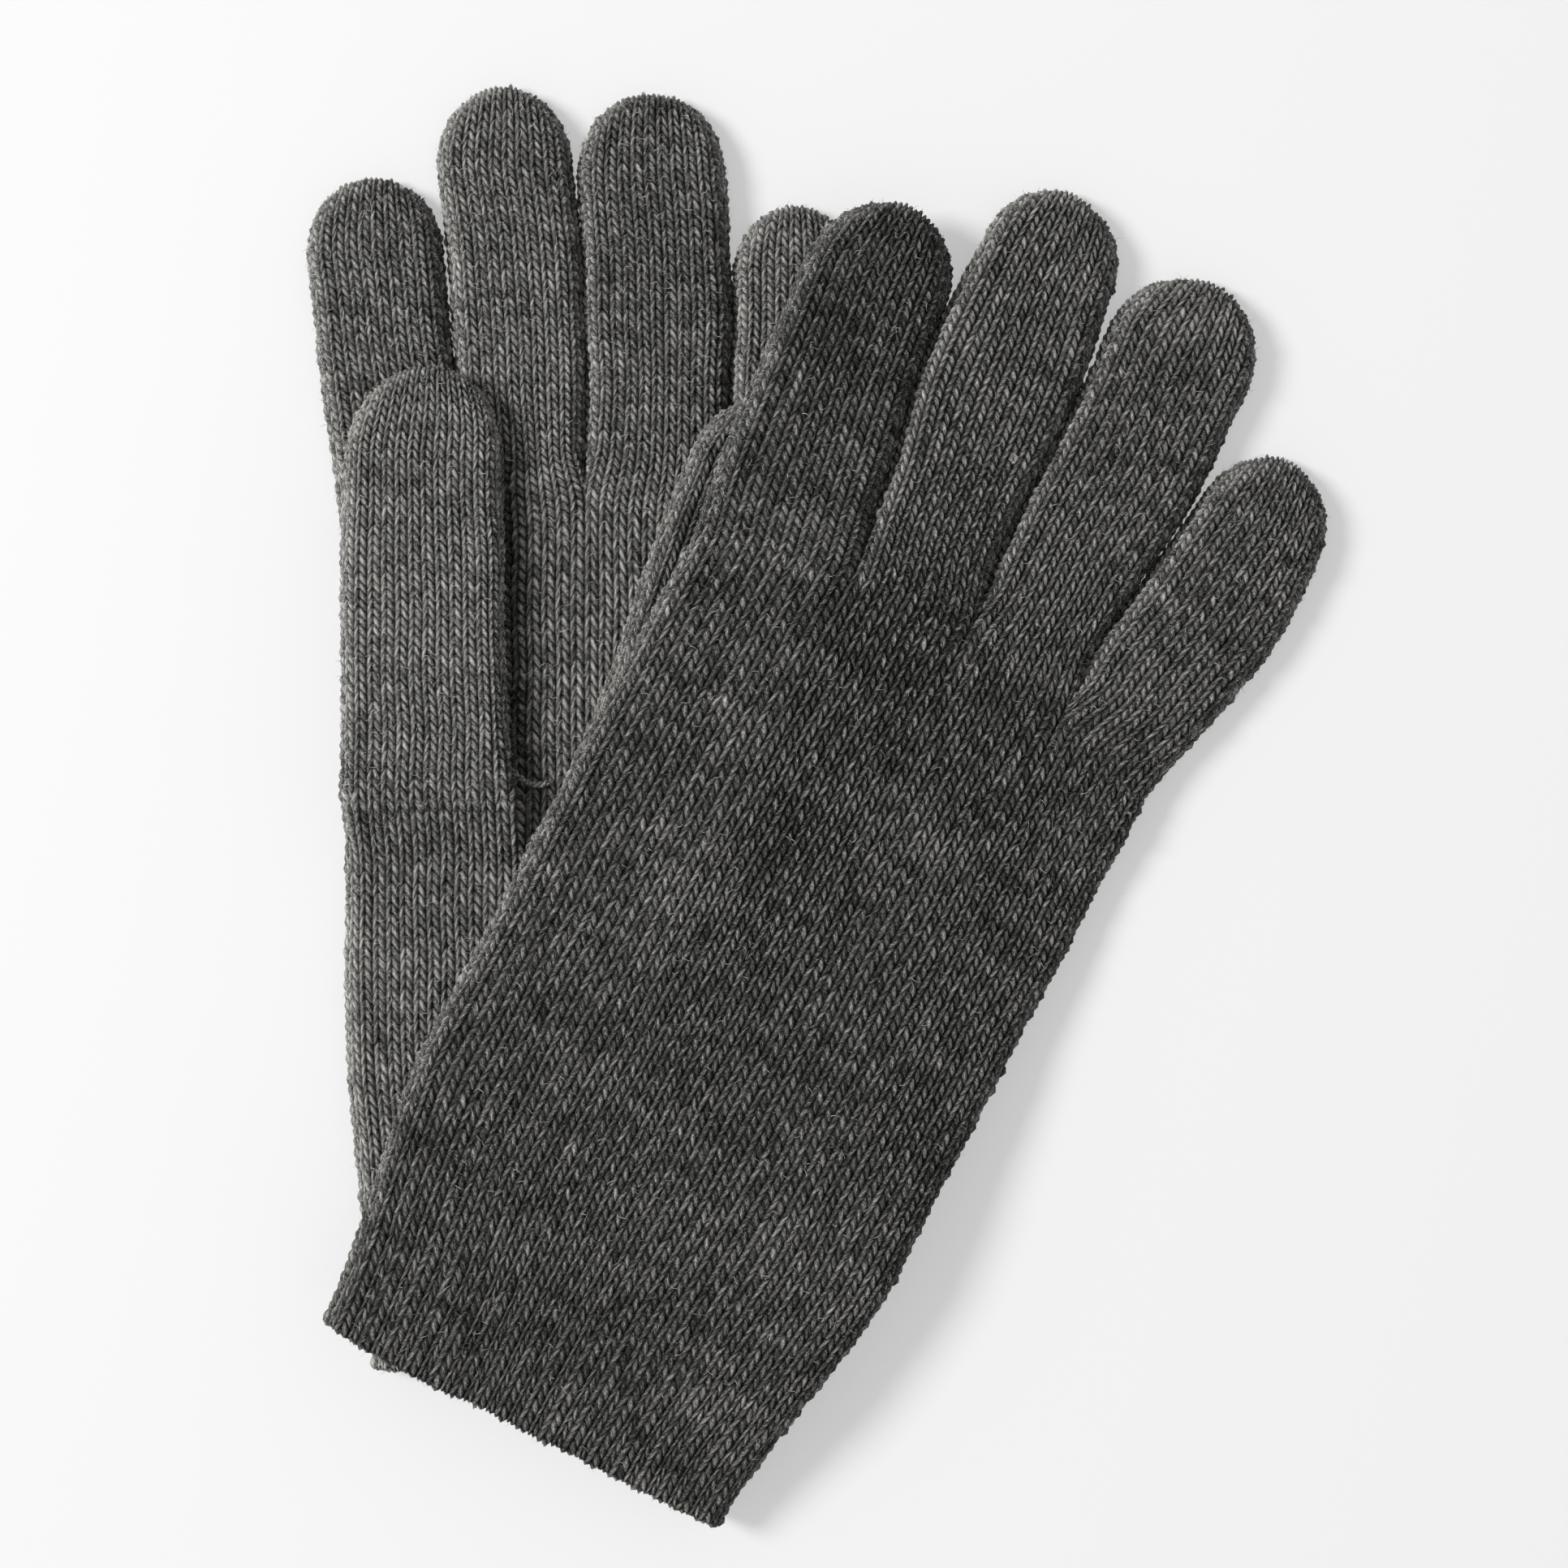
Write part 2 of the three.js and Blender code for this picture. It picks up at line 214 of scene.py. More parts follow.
FIRST_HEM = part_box("left_cuff_hem")
ORIGIN = (
    (FIRST_HEM[0].x + FIRST_HEM[1].x) / 2 / MM - LEFT["middle"],
    FIRST_HEM[0].y / MM,
)

# ---------------------------------------------------------------- small formulas


def step(x, low, high):
    t = np.clip((x - low) / (high - low), 0, 1)
    return t * t * (3 - 2 * t)


def mix(a, b, t):
    return a + (b - a) * t


def ripple(x, y, size, seed):
    """Smooth wandering values from -1 to 1, with waves about `size` long."""
    random = np.random.default_rng(seed)
    total = np.zeros(np.broadcast(x, y).shape)
    for _ in range(7):
        angle, phase = random.uniform(0, 2 * math.pi, 2)
        k = 2 * math.pi / (size * random.uniform(0.6, 1.6))
        total += np.sin(k * (x * math.cos(angle) + y * math.sin(angle)) + phase)
    return total / 4


def curve(points, t):
    """A smooth curve through evenly spaced points, for t from 0 to 1."""
    p = np.array(points, float)
    p = np.vstack([2 * p[0] - p[1], p, 2 * p[-1] - p[-2]])
    x = np.asarray(t) * (len(points) - 1)
    i = np.clip(np.floor(x).astype(int), 0, len(points) - 2)
    s = (x - i)[..., None]
    a, b, c, d = p[i], p[i + 1], p[i + 2], p[i + 3]
    return b + 0.5 * s * (c - a + s * (2 * a - 5 * b + 4 * c - d + s * (3 * b - a - 3 * c + d)))


# ---------------------------------------------------------------- how the gloves lie


def plan(glove, u, v):
    """Place of a point of a glove on the table, from the left glove's corner."""
    c, s = math.cos(glove["turn"]), math.sin(glove["turn"])
    return glove["at"][0] + u * c + v * s, glove["at"][1] - u * s + v * c


def ground(glove, u, v):
    """Height of whatever the glove lies on."""
    if glove is LEFT:
        return np.zeros(np.shape(u))
    x, y = plan(glove, u, v)
    beyond_side = step(x, LEFT_EDGE, LEFT_EDGE + FALL)
    beyond_cuff = step(-y, -LEFT_CUFF_EDGE, FALL - LEFT_CUFF_EDGE)
    return (LOFT + GAP) * (1 - beyond_side) * (1 - beyond_cuff)


def swell(glove, u, v):
    """Extra height where the folded thumb is."""
    thumb, root = glove["thumb"], glove["thumb_root"]
    tip_u, tip_v = thumb["tip"]
    tip_half = 14.5
    up = np.clip((v - root) / (tip_v - root), 0, 1)
    inner = mix(thumb["right"][0][0], tip_u + tip_half, up) - glove["swell_lap"]
    across = 1 - step(u, inner, inner + glove["swell_side"])
    up_to_root = step(v, root - glove["swell_below"], root)
    down_from_tip = 1 - step(v, tip_v - 3, tip_v + 24)
    return (LOFT + GAP) * across * up_to_root * down_from_tip


# Each layer gives the heights of its underside and its top at a point of the glove.


def flat(glove, u, v):
    under = ground(glove, u, v)
    return under, under + LOFT


def around_thumb(glove, u, v):
    under = ground(glove, u, v)
    return under, under + LOFT + swell(glove, u, v)


def over_thumb(glove, u, v):
    under = ground(glove, u, v) + swell(glove, u, v)
    return under, under + LOFT


def thumb_layer(glove, u, v):
    under = ground(glove, u, v) + (LOFT + GAP if glove is LEFT else 0)
    return under, under + LOFT - GAP


def finger_layer(glove):
    """The left glove's fingers lie on the table, the right glove's over its own thumb."""
    return flat if glove is LEFT else over_thumb


# ---------------------------------------------------------------- sections of the tubes

# Length of the quarter of an ellipse that rounds a side edge.
QUARTER = math.pi / 2 * math.sqrt((FOLD**2 + (LOFT / 2) ** 2) / 2)


def rounded(g, half):
    """Station and height round a flattened tube, evenly by length: g runs from -1 to 1
    across its upper side. Gives the station from -1 to 1 and the height from 0 to 1."""
    along = np.abs(g) * (half - FOLD + QUARTER)
    turn = np.clip((along - (half - FOLD)) / QUARTER, 0, 1) * math.pi / 2
    across = np.minimum(along, half - FOLD) + FOLD * np.sin(turn)
    return np.sign(g) * across / half, np.cos(turn)


def palm_section(glove, x, v, half):
    """Section of the palm at wale x; below the thumb's root its edge parts into two."""
    reach = glove["palm_half"] - FOLD + QUARTER
    spots = [u - glove["middle"] for u, _ in glove["forks"][1:-1]]
    even = [glove["wales"] / 2 * (1 + spot / reach) for spot in spots]
    x = np.interp(x, glove["joins"], [0, *even, glove["wales"]])
    g = 2 * x / glove["wales"] - 1
    f, h = rounded(g, half)
    root = glove["thumb_root"]
    parted = step(v, root - THUMB_PART, root) * (v <= root + 1) * (g < 0) * (h < 1)
    turn = 2 * np.arccos(np.clip(h, 0, 1))
    parted_f = -1 + FOLD / half * (1 - np.sin(turn))
    parted_h = 0.5 + 0.5 * np.cos(turn)
    return mix(f, parted_f, parted), mix(h, parted_h, parted)


def upper_palm_section(glove, x):
    """Section of the palm above the thumb's root, where its edge is whole again."""
    v = np.full(np.shape(x), glove["thumb_root"] + 2)
    return palm_section(glove, x, v, glove["palm_half"])


def half_width(glove, v):
    return mix(glove["cuff_half"], glove["palm_half"], step(v, 0, glove["flare"]))


def root_line(glove, u):
    """Height of the finger roots across the palm."""
    us, vs = zip(*glove["forks"])
    return np.interp(u, us, vs)


# ---------------------------------------------------------------- the tubes' surfaces

# A surface takes x, the wale across the upper side, and t, the height in mm from the
# tube's start. It gives u, v, the height h from 0 at the side edges to 1, how far inside
# the cloth's face it is and how far from the outline.


def cuff_surface(glove):
    """The cuff, whose hem turns in round its slightly uneven edge and goes up inside."""
    between = CLOTH - INSET
    turn_in = math.pi / 2 * between

    def surface(x, t):
        inside = np.clip(-t - turn_in, 0, None)
        edge = np.clip(-t / turn_in, 0, 1) * math.pi
        v = np.where(t > 0, t, between / 2 * (1 - np.sin(edge)) + inside)
        depth = between * (1 - np.cos(edge)) / 2
        half = half_width(glove, v)
        f, h = palm_section(glove, x, v, half)
        uneven = 0.45 * ripple(x, 0 * x, 14, 3) * (1 - step(v, 0, 8))
        u = glove["middle"] + f * (half - depth)
        return u, v + uneven - CUFF_DROP, h, depth, (1 - np.abs(f)) * half

    return surface


def lower_palm_surface(glove):
    """The palm from the cuff to the thumb's root."""
    def surface(x, t):
        v = CUFF_TOP - CUFF_DROP * (1 - step(t, 0, 12)) + t
        half = half_width(glove, v)
        f, h = palm_section(glove, x, v, half)
        return glove["middle"] + f * half, v, h, 0 * x, (1 - np.abs(f)) * half

    return surface


def upper_palm_surface(glove, length):
    """The palm from the thumb's root to the finger roots."""
    def surface(x, t):
        half = glove["palm_half"]
        f, h = upper_palm_section(glove, x)
        u = glove["middle"] + f * half
        v = mix(glove["thumb_root"], root_line(glove, u), t / length)
        return u, v, h, 0 * x, (1 - np.abs(f)) * half

    return surface


def finger_lines(finger):
    """A finger's two sides and its tip."""
    return [np.array(finger[line], float) for line in ("left", "right", "tip")]


def finger_sizes(finger):
    """Length of a finger up to its round tip, its end's height and its half width."""
    left, right, tip = finger_lines(finger)
    middles = (left + right) / 2
    length = np.linalg.norm(np.diff(middles, axis=0), axis=1).sum()
    return length, np.linalg.norm(tip - middles[-1]), np.linalg.norm(right[-1] - left[-1]) / 2


def round_end(f, over):
    """Fits the square end of a finger, `over` from 0 to 1, to a half circle, so that the
    wales neither stop short nor crowd at its tip. Gives the place across and along, and
    how far out from the circle's middle it is."""
    across = f * np.sqrt(1 - over**2 / 2)
    along = over * np.sqrt(1 - f**2 / 2)
    return across, along, np.clip(np.hypot(across, along), 0, 1)


def finger_surface(glove, finger, first, inner):
    """A finger on the palm's wales from `first` to `first + inner`, which grows out of
    the palm flat, rounds off beside the forks and closes at its tip. Gives its surface,
    its wales and its length."""
    length, end, half = finger_sizes(finger)
    left, right, tip = finger_lines(finger)
    more_left, more_right = finger["extra"]
    wales = inner + more_left + more_right
    hollow = 1 + glove["apart"]

    def at_root(x):
        f, h = upper_palm_section(glove, first + np.clip(x - more_left, 0, inner))
        u = glove["middle"] + f * glove["palm_half"]
        f = np.clip(2 * (u - left[0][0]) / (right[0][0] - left[0][0]) - 1, -1, 1)
        if more_left:
            h = h * np.clip(x / more_left, 0, 1)
        if more_right:
            h = h * np.clip((wales - x) / more_right, 0, 1)
        return f, h

    def surface(x, t):
        f0, h0 = at_root(x)
        f1, h1 = rounded(2 * x / wales - 1, half)
        formed = step(t, 0, FORM)
        f, h = mix(f0, f1, formed), mix(h0, h1**hollow, step(t, 0, ROUND_OFF))
        low = curve(left, np.minimum(t / length, 1))
        high = curve(right, np.minimum(t / length, 1))
        over, _ = rounded(np.clip((t - length) / (end - FOLD + QUARTER), 0, 1), end)
        across, along, outward_part = round_end(f, over)
        middle, side = (low + high) / 2, (high - low) / 2
        rise = tip - (left[-1] + right[-1]) / 2
        point = middle + rise * along[..., None] + side * across[..., None]
        edge = (1 - outward_part) * half
        dome = np.sqrt(1 - (1 - np.clip(edge / FOLD, 0, 1)) ** 2) ** hollow
        h = np.where(t > length, dome, h) * (1 - 0.06 * f * f * formed)
        return point[..., 0], point[..., 1], h, 0 * x, mix(2 * FOLD, edge, formed)

    return surface, wales, length + end - FOLD + QUARTER


# ---------------------------------------------------------------- the knitted mesh


def stitch_numbers(courses, wales, seed):
    """Random lightness and height of every leg of every stitch. The yarn is spun from
    light and dark wool, so its tone holds over a few stitches along each course, and
    drifts in larger clouds."""
    random = np.random.default_rng(seed)

    def smooth(values, along, over):
        for shift in range(1, along):
            values = values + np.roll(values, shift, 1) * (1 - shift / along)
        for shift in range(1, over):
            values = values + np.roll(values, shift, 0) * (1 - shift / over)
        return (values - values.mean()) / values.std()

    shape = (courses, 2 * wales)
    yarn = smooth(random.normal(size=shape), 3, 1)
    cloud = smooth(random.normal(size=shape), 7, 4)
    legs = random.normal(size=(*shape, 2))
    shared = 0.035 * yarn + 0.028 * cloud
    tone = 0.5 + shared[..., None] + 0.07 * legs
    height = 1 + 0.22 * random.normal(size=(*shape, 2))
    return tone, np.clip(height, 0.4, 1.6)


def bell(distance, width):
    return np.exp(-((distance / width) ** 2))


def pinch(glove, u, v):
    """Dimples where the cloth is drawn in at the roots of the gaps between fingers."""
    total = 0 * u
    for fork_u, fork_v in glove["forks"][1:-1]:
        total += bell(u - fork_u, 1.9) * bell(v - fork_v, 5.5)
    return PINCH * glove["apart"] * total


def crease(glove, u, v):
    """Crease in the palm and fingers along the inner side of the thumb lying on them."""
    us, vs = zip(*glove["thumb"]["right"])
    beside = bell(u - np.interp(v, vs, us) - 0.9, 1.3)
    return CREASE * beside * step(v, vs[0] - 1, vs[0] + 3) * (1 - step(v, vs[-1] - 4, vs[-1] + 4))


def dents(glove, layer, u, v, edge, left_half):
    """How far the upper side of the cloth is pressed in: in soft waves above the cuff,
    in a groove behind the fold on the thumb's side, and in dimples and a crease."""
    waves = DENT * (1 + ripple(u, v, 24, glove["seed"] + 2)) * step(v, CUFF_TOP, CUFF_TOP + 12)
    groove = RIM * bell(edge - 5.2, 1.8) * left_half
    total = waves + groove + pinch(glove, u, v)
    if glove is LEFT and layer is flat:
        total = total + crease(glove, u, v)
    return total


def knit(glove, tube, surface, layer, seed):
    """Points and values of a tube of stockinette: the mesh's rows run up and down in Vs,
    so that each leg of a stitch is a small slanted pad of 4 by 4 faces."""
    wales, start, length = tube["wales"], tube["start"], tube["length"]
    courses = round(length / tube["course"])
    col, row = np.meshgrid(np.arange(2 * wales * PER_WALE + 1), np.arange(courses * PER_COURSE + 1))
    wale, part = np.divmod(col, PER_WALE)
    course, level = np.divmod(row, PER_COURSE)
    leg = (part >= LEFT_LEG).astype(int)
    odd = wale % 2

    # where each mesh point is: `across` in wales round the tube, `up` in mm along it; the
    # Vs flatten out where a fingertip closes, and the ribs fade below the cuff's top
    base = start + row / PER_COURSE * length / courses
    closing = step(base, start + length - 4, start + length) if tube["closed"] else 0
    up = base - SLANT * tube["course"] * DOWN[part] * (1 - closing)
    hidden = 1 - step(base, tube["seam"] - 1, tube["seam"])
    rib = (1 - step(up, CUFF_TOP - 5, CUFF_TOP)) if tube["ribbed"] else 0 * up
    wide = np.where(odd, 1 - COLUMNS[part], COLUMNS[part])
    across = wale + COLUMNS[part] + rib * RIB * wide
    upper = across <= wales
    left_half = across < wales / 2

    # the smooth tube, lying in its layer
    u, v, h, depth, edge = surface(np.where(upper, across, 2 * wales - across), up)
    u = u + WANDER[0] * ripple(u, v, 21, glove["seed"])
    v = v + WANDER[1] * ripple(u, v, 19, glove["seed"] + 1)
    under, top = layer(glove, u, v)
    thick = (top - under) / 2 - INSET - depth
    sag = tube["sag"] * (1 - h) * step(up, 0, 10)
    pressed = dents(glove, layer, u, v, edge, left_half) * upper * h
    z = (under + top) / 2 + np.where(upper, 1, -1) * h * thick - pressed - sag
    px, py = plan(glove, u, v)
    points = np.stack([px + ORIGIN[0], py + ORIGIN[1], z], -1)

    # the stitches that stand up from it, with a painted highlight along the fold on the thumb's
    # side, which faces the light
    tone, height = stitch_numbers(courses + 1, wales + 1, seed)
    tone, height = tone[course, wale, leg], height[course, wale, leg]
    pile = ACROSS[part] * np.where(leg == 0, UP_LEFT[level], UP_RIGHT[level])
    sunk = RIB_SUNK * rib * odd
    raised = PILE * pile * height * (1 - sunk) - sunk - SUNK - TUCK * hidden
    normals = outward(points)
    # a finger's or thumb's own tone fades in over 15 mm from its root; it is partly painted light
    # and shading, for how the light falls on it
    tone = tone + tube["tone_and_painted_light"] * step(up, 0, 15)
    # painted highlight: the wool is made lighter along the folded edge on the thumb's side, where
    # the light from the left falls on it
    tone = tone + 0.14 * (1 - step(edge, 0.5, 4.5)) * left_half
    along_yarn = wale * YARN_IN_WALE + ALONG_YARN[part]
    return {
        "points": points + normals * raised[..., None], "normals": normals,
        "tone": tone, "pile": pile,
        "strand": np.stack([along_yarn, row / PER_COURSE * tube["course"]], -1),
    }


def outward(points):
    """Unit normals of a grid of points, also where a row of it has shrunk to a point."""
    along = np.gradient(points, axis=1)
    up = np.gradient(points, axis=0) + 1e-6 * np.array([0, 1.0, 0])
    normal = np.cross(along, up)
    return normal / np.maximum(np.linalg.norm(normal, axis=-1, keepdims=True), 1e-9)


HAIR_PARTS = 3      # straight parts of a loose fibre
HAIR_WIDTH = 0.08   # of its ribbon where it leaves the yarn
HAIRS = 1.5         # loose fibres on each stitch
HAIR_POINTS = 2 * (HAIR_PARTS + 1)


def fuzz(grid, seed):
    """Loose fibres: thin bent ribbons that leave the yarn and lie low over it."""
    random = np.random.default_rng(seed)
    rows, columns = grid["tone"].shape
    count = int(rows * columns / (PER_WALE * PER_COURSE) * HAIRS)
    r = random.integers(0, rows, count)
    c = random.integers(0, columns, count)
    start, normal = grid["points"][r, c], grid["normals"][r, c]
    drift = random.normal(size=(count, 3))
    drift -= normal * (drift * normal).sum(1, keepdims=True)
    drift /= np.linalg.norm(drift, axis=1, keepdims=True)
    side = np.cross(normal, drift)
    reach = random.uniform(0.6, 2.0, count)[:, None]
    lift = random.uniform(0.1, 0.75, count)[:, None]
    bend = random.normal(size=(count, 1)) * 0.5
    points = []
    for k in range(HAIR_PARTS + 1):
        s = k / HAIR_PARTS
        centre = start + drift * reach * s * (1 - 0.2 * s) + side * bend * reach * s * s
        centre = centre + normal * lift * reach * (s - 0.45 * s * s)
        half = HAIR_WIDTH / 2 * (1 - 0.6 * s)
        points.append(centre - side * half)
        points.append(centre + side * half)
    return {
        "points": np.stack(points, 1), "tone": random.uniform(0.3, 0.85, count),
        "row": r / (rows - 1), "column": c / (columns - 1), "strand": grid["strand"][r, c],
    }


def cloth_faces(rows, columns):
    index = np.arange(rows * columns).reshape(rows, columns)
    quads = np.stack([index[:-1, :-1], index[:-1, 1:], index[1:, 1:], index[1:, :-1]], -1)
    return quads.reshape(-1, 4)


def hair_faces(first_point, hairs):
    first = first_point + HAIR_POINTS * np.arange(hairs)
    parts = [first + 2 * k for k in range(HAIR_PARTS)]
    return np.vstack([np.stack([a, a + 1, a + 3, a + 2], -1) for a in parts])


def mesh_object(name, grid, hairs, tone_and_painted_light):
    """Blender mesh of a knitted tube with its loose fibres. Nothing reaches below the
    table. Every point carries its wool's tone, with painted light and shading in it, its
    place on the yarn and its pile, which is 0 in the valleys and 1 on top of the yarn."""
    rows, columns = grid["tone"].shape
    cloth_points, hair_points = grid["points"].reshape(-1, 3), hairs["points"].reshape(-1, 3)
    points = np.vstack([cloth_points, hair_points]) * MM
    points[:, 2] = np.maximum(points[:, 2], 0)
    hair_quads = hair_faces(len(cloth_points), len(hairs["points"]))
    quads = np.vstack([cloth_faces(rows, columns), hair_quads])
    mesh = bpy.data.meshes.new(name)
    mesh.vertices.add(len(points))
    mesh.vertices.foreach_set("co", points.ravel())
    mesh.loops.add(quads.size)
    mesh.loops.foreach_set("vertex_index", quads.ravel())
    mesh.polygons.add(len(quads))
    mesh.polygons.foreach_set("loop_start", np.arange(0, quads.size, 4))
    mesh.polygons.foreach_set("use_smooth", np.ones(len(quads), bool))
    mesh.update(calc_edges=True)

    def on_points(on_cloth, on_hair):
        repeated = np.repeat(on_hair, HAIR_POINTS, axis=0)
        return np.concatenate([on_cloth.ravel(), repeated.ravel()])

    def attribute(label, kind, field, on_cloth, on_hair):
        data = mesh.attributes.new(label, kind, "POINT").data
        data.foreach_set(field, on_points(on_cloth, on_hair))

    # each glove's own tone is added to every point; it is partly painted light and shading, for how
    # the light falls on the glove
    attribute("tone", "FLOAT", "value", grid["tone"] + tone_and_painted_light, hairs["tone"] + tone_and_painted_light)
    attribute("pile", "FLOAT", "value", grid["pile"], np.ones(len(hairs["tone"])))
    attribute("strand", "FLOAT2", "vector", grid["strand"], hairs["strand"])
    down, across = np.mgrid[0:1:rows * 1j, 0:1:columns * 1j]
    uv = np.stack([on_points(across, hairs["column"]), on_points(down, hairs["row"])], -1)
    layer = mesh.uv_layers.new(name="OFBake")
    layer.data.foreach_set("uv", uv[quads.ravel()].ravel())
    return link_object(name, mesh)


def link_object(name, data):
    obj = bpy.data.objects.new(name, data)
    bpy.context.scene.collection.objects.link(obj)
    return obj


# ---------------------------------------------------------------- materials


class Nodes:
    """Short calls for building a material's nodes."""

    def __init__(self, name):
        self.material = bpy.data.materials.new(name)
        self.material.use_nodes = True
        self.tree = self.material.node_tree
        self.shader = self.tree.nodes["Principled BSDF"]

    def new(self, kind, **settings):
        node = self.tree.nodes.new(kind)
        for key, value in settings.items():
            setattr(node, key, value)
        return node

    def put(self, source, target):
        self.tree.links.new(source, target)

    def constant(self, **values):
        """Sets the shader's own sockets, named with _ for a space."""
        for key, value in values.items():
            self.shader.inputs[key.replace("_", " ")].default_value = value

    def attribute(self, name, output="Fac"):
        return self.new("ShaderNodeAttribute", attribute_name=name).outputs[output]

    def place(self):
        return self.new("ShaderNodeTexCoord").outputs["Object"]

    def add(self, a, b):
        node = self.new("ShaderNodeMath", operation="ADD")
        self.put(a, node.inputs[0])
        self.put(b, node.inputs[1])
        return node.outputs[0]

    def scaled_by(self, value, factor, plus):
        node = self.new("ShaderNodeMath", operation="MULTIPLY_ADD")
        self.put(value, node.inputs[0])
        node.inputs[1].default_value = factor
        node.inputs[2].default_value = plus
        return node.outputs[0]

    def around_zero(self, noise, spread):
        """Noise from 0 to 1, turned into values from -spread / 2 to spread / 2."""
        return self.scaled_by(noise, spread, -spread / 2)

    def stretched(self, vector, scale):
        node = self.new("ShaderNodeMapping")
        self.put(vector, node.inputs["Vector"])
        node.inputs["Scale"].default_value = scale
        return node.outputs[0]

    def noise(self, vector, detail):
        node = self.new("ShaderNodeTexNoise")
        self.put(vector, node.inputs["Vector"])
        node.inputs["Scale"].default_value = 1.0
        node.inputs["Detail"].default_value = detail
        return node.outputs["Fac"]

    def ramp(self, value, stops):
        node = self.new("ShaderNodeValToRGB")
        self.put(value, node.inputs["Fac"])
        elements = node.color_ramp.elements
        while len(elements) < len(stops):
            elements.new(0.5)
        for element, (place, colour) in zip(elements, stops):
            element.position = place
            element.color = (*colour, 1)
        return node.outputs["Color"]

    def greys(self, value, stops):
        return self.ramp(value, [(place, (grey,) * 3) for place, grey in stops])

    def bump(self, height, strength, distance):
        node = self.new("ShaderNodeBump")
        self.put(height, node.inputs["Height"])
        node.inputs["Strength"].default_value = strength
        node.inputs["Distance"].default_value = distance
        self.put(node.outputs[0], self.shader.inputs["Normal"])


def wool_colours(nodes, value, shadow):
    """Wool spun from near-black, grey and pale fibres, darkened by `shadow`: painted
    shadow in the valleys of the knit, darker streaks along the fibres in the loose yarn.
    """
    fibres = nodes.ramp(value, [
        (0.10, (0.010, 0.010, 0.010)),
        (0.38, (0.068, 0.067, 0.063)),
        (0.62, (0.235, 0.230, 0.217)),
        (0.92, (0.600, 0.588, 0.556)),
    ])
    shaded = nodes.new("ShaderNodeMix", data_type="RGBA", blend_type="MULTIPLY")
    shaded.inputs["Factor"].default_value = 1
    nodes.put(fibres, shaded.inputs["A"])
    nodes.put(shadow, shaded.inputs["B"])
    nodes.put(shaded.outputs["Result"], nodes.shader.inputs["Base Color"])


def melange_wool():
    """Knitting yarn: fibres run along it in streaks, and painted shadow darkens it in
    the valleys of the knit.
    """
    nodes = Nodes("melange_wool")
    strand = nodes.attribute("strand", "Vector")
    fibres = nodes.noise(nodes.stretched(strand, (1.6, 8.5, 1)), 4.0)
    flecks = nodes.noise(nodes.stretched(strand, (0.35, 1.5, 1)), 1.0)
    streaks = nodes.around_zero(fibres, 2.5)
    mottle = nodes.around_zero(flecks, 0.7)
    value = nodes.add(nodes.add(nodes.attribute("tone"), streaks), mottle)
    # painted shadow: the wool grows darker as its pile falls, nearly black in the valleys of the
    # knit
    shadow = nodes.greys(nodes.attribute("pile"), [(0.0, 0.03), (0.45, 0.40), (0.9, 1.0)])
    wool_colours(nodes, value, shadow)
    nodes.bump(fibres, 0.5, 0.12 * MM)
    nodes.constant(Roughness=0.95, Specular_IOR_Level=0.15)
    nodes.constant(Sheen_Weight=0.08, Sheen_Roughness=0.5)
    return nodes.material


def loose_yarn():
    """The same wool in fine lengthwise fibres, for the yarn end and the knot."""
    nodes = Nodes("loose_yarn")
    fibres = nodes.noise(nodes.stretched(nodes.place(), (3000, 900, 3000)), 3.0)
    value = nodes.scaled_by(fibres, 1.0, 0.2)
    wool_colours(nodes, value, nodes.greys(fibres, [(0.2, 0.7), (0.6, 1.0)]))
    nodes.bump(fibres, 0.6, 0.1 * MM)
    nodes.constant(Roughness=0.95, Specular_IOR_Level=0.15)
    return nodes.material


def covered_elastic():
    """Rubber thread wound with grey nylon: fine slanting ridges."""
    nodes = Nodes("covered_elastic")
    wave = nodes.new("ShaderNodeTexWave", wave_type="BANDS")
    nodes.put(nodes.stretched(nodes.place(), (900, 900, 400)), wave.inputs["Vector"])
    ridges = wave.outputs["Fac"]
    colour = nodes.ramp(ridges, [(0.2, (0.05, 0.05, 0.05)), (0.8, (0.12, 0.12, 0.11))])
    nodes.put(colour, nodes.shader.inputs["Base Color"])
    nodes.bump(ridges, 0.5, 0.1 * MM)
    nodes.constant(Roughness=0.7)
    return nodes.material


WOOL = melange_wool()
YARN = loose_yarn()
ELASTIC = covered_elastic()

# ---------------------------------------------------------------- pieces of a glove


def tube(wales, start, length, course, tone_and_painted_light=0.0, closed=False, sag=0.0, ribbed=False):
    """A tube of knitting; one that starts below 0 is tucked under its neighbour there,
    apart from the ribbed cuff, whose start is the end of its hem."""
    seam = start - 2 if ribbed else 0
    return {"wales": wales, "start": start, "length": length - start, "course": course,
            "tone_and_painted_light": tone_and_painted_light, "closed": closed, "sag": sag, "ribbed": ribbed, "seam": seam}


def knitted_piece(name, grid, seed, tone_and_painted_light, nodes):
    """A knitted tube in place of the named nodes of the part."""
    obj = mesh_object(name, grid, fuzz(grid, seed + 5), tone_and_painted_light)
    obj.data.materials.append(WOOL)
    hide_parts(*nodes)
    return obj


